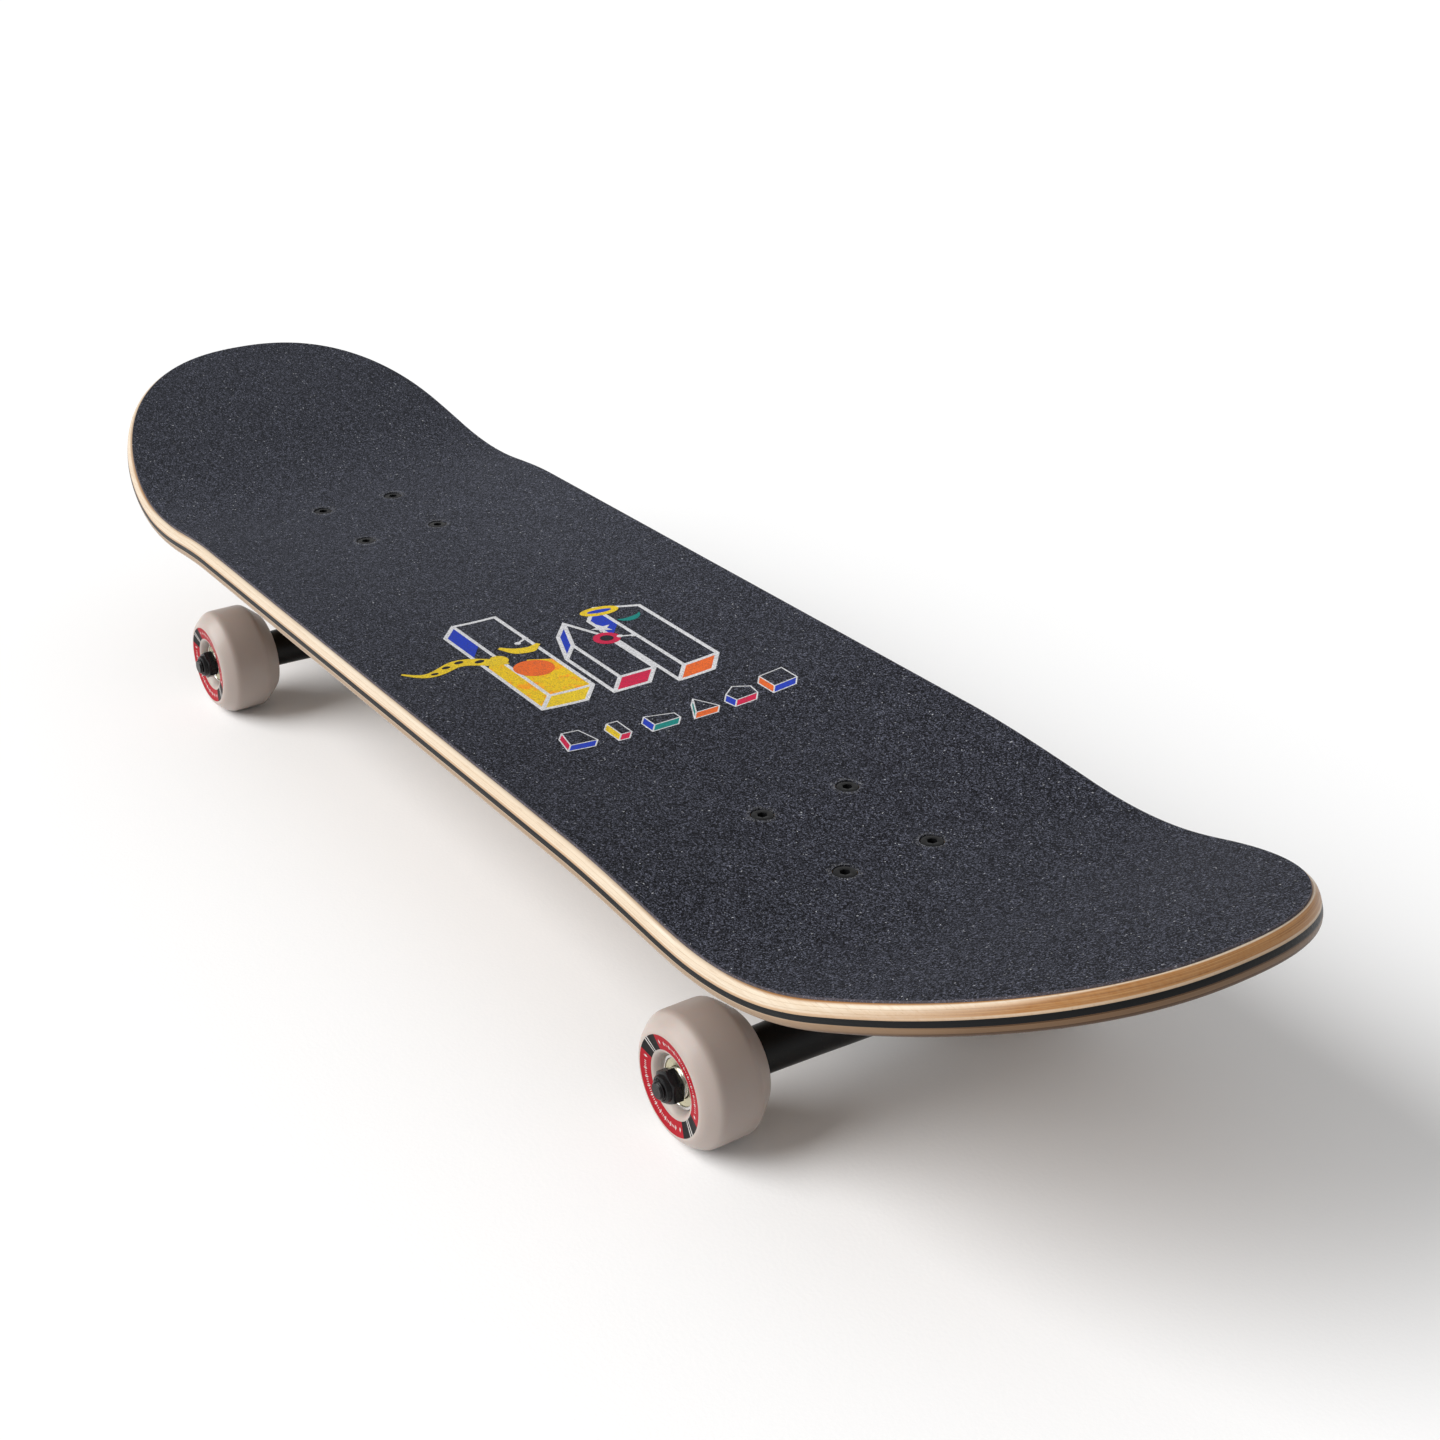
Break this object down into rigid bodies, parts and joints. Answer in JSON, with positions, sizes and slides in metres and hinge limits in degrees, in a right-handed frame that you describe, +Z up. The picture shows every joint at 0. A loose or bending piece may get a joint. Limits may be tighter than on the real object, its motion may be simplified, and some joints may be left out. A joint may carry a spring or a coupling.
{
  "type": "skateboard",
  "caption": "Street skateboard: pressed maple deck with kicked nose and tail, printed grip sheet, sprung steering trucks and urethane wheels on ball bearings.",
  "frame": {"origin": "on the ground under the centre of the board's box", "axes": "+X along the board towards the nose, +Y towards the left rail, +Z up"},
  "size_m": [0.8108, 0.2058, 0.1471],
  "materials": {
    "deck_maple": "pressed maple plies, lacquered, one ply dyed black, rounded sanded edge",
    "grip_sheet": "coarse black abrasive grit on a thin sheet, with a printed drawing",
    "truck_black": "cast aluminium with satin black paint",
    "black_hardware": "steel with a black oxide finish",
    "zinc_steel": "bright zinc-plated steel",
    "bearing_steel": "ground bearing steel with pressed shields",
    "wheel_urethane": "off-white cast urethane, slightly glossy",
    "bushing_urethane": "firm black urethane"
  },
  "bodies": {
    "board": {"deck": "deck_maple", "grip_tape": "grip_sheet", "deck_bolt_front_1": "black_hardware", "lock_nut_front_1": "black_hardware", "deck_bolt_front_2": "black_hardware", "lock_nut_front_2": "black_hardware", "deck_bolt_front_3": "black_hardware", "lock_nut_front_3": "black_hardware", "deck_bolt_front_4": "black_hardware", "lock_nut_front_4": "black_hardware", "deck_bolt_rear_1": "black_hardware", "lock_nut_rear_1": "black_hardware", "deck_bolt_rear_2": "black_hardware", "lock_nut_rear_2": "black_hardware", "deck_bolt_rear_3": "black_hardware", "lock_nut_rear_3": "black_hardware", "deck_bolt_rear_4": "black_hardware", "lock_nut_rear_4": "black_hardware", "front_baseplate": "truck_black", "front_pivot_cup": "bushing_urethane", "front_kingpin": "zinc_steel", "front_kingpin_nut": "zinc_steel", "front_upper_washer": "zinc_steel", "front_upper_bushing": "bushing_urethane", "front_lower_bushing": "bushing_urethane", "front_lower_washer": "zinc_steel", "rear_baseplate": "truck_black", "rear_pivot_cup": "bushing_urethane", "rear_kingpin": "zinc_steel", "rear_kingpin_nut": "zinc_steel", "rear_upper_washer": "zinc_steel", "rear_upper_bushing": "bushing_urethane", "rear_lower_bushing": "bushing_urethane", "rear_lower_washer": "zinc_steel"},
    "front_hanger_set": {"front_hanger": "truck_black", "front_axle": "black_hardware", "front_left_axle_nut": "black_hardware", "front_left_bearing_spacer": "zinc_steel", "front_right_axle_nut": "black_hardware", "front_right_bearing_spacer": "zinc_steel"},
    "front_left_wheel_set": {"front_left_wheel": "wheel_urethane", "front_left_outer_bearing": "bearing_steel", "front_left_inner_bearing": "bearing_steel"},
    "front_right_wheel_set": {"front_right_wheel": "wheel_urethane", "front_right_outer_bearing": "bearing_steel", "front_right_inner_bearing": "bearing_steel"},
    "rear_hanger_set": {"rear_hanger": "truck_black", "rear_axle": "black_hardware", "rear_left_axle_nut": "black_hardware", "rear_left_bearing_spacer": "zinc_steel", "rear_right_axle_nut": "black_hardware", "rear_right_bearing_spacer": "zinc_steel"},
    "rear_left_wheel_set": {"rear_left_wheel": "wheel_urethane", "rear_left_outer_bearing": "bearing_steel", "rear_left_inner_bearing": "bearing_steel"},
    "rear_right_wheel_set": {"rear_right_wheel": "wheel_urethane", "rear_right_outer_bearing": "bearing_steel", "rear_right_inner_bearing": "bearing_steel"}
  },
  "joints": [
    {"name": "front_steer", "type": "hinge", "parent": "board", "child": "front_hanger_set", "pos_m": [0.1919, 0, 0.0375], "axis": [0.8619, 0, 0.507], "range_deg": [-14, 14], "stiffness_Nm_per_rad": 25, "deforming": ["front_upper_bushing", "front_lower_bushing"]},
    {"name": "rear_steer", "type": "hinge", "parent": "board", "child": "rear_hanger_set", "pos_m": [-0.2071, 0, 0.0375], "axis": [-0.8619, 0, 0.507], "range_deg": [-14, 14], "stiffness_Nm_per_rad": 25, "deforming": ["rear_upper_bushing", "rear_lower_bushing"]},
    {"name": "front_left_wheel_spin", "type": "hinge", "parent": "front_hanger_set", "child": "front_left_wheel_set", "pos_m": [0.2219, 0.0803, 0.0275], "axis": [0, 1, 0], "continuous": true},
    {"name": "front_right_wheel_spin", "type": "hinge", "parent": "front_hanger_set", "child": "front_right_wheel_set", "pos_m": [0.2219, -0.0803, 0.0275], "axis": [0, 1, 0], "continuous": true},
    {"name": "rear_left_wheel_spin", "type": "hinge", "parent": "rear_hanger_set", "child": "rear_left_wheel_set", "pos_m": [-0.2371, 0.0803, 0.0275], "axis": [0, 1, 0], "continuous": true},
    {"name": "rear_right_wheel_spin", "type": "hinge", "parent": "rear_hanger_set", "child": "rear_right_wheel_set", "pos_m": [-0.2371, -0.0803, 0.0275], "axis": [0, 1, 0], "continuous": true}
  ]
}
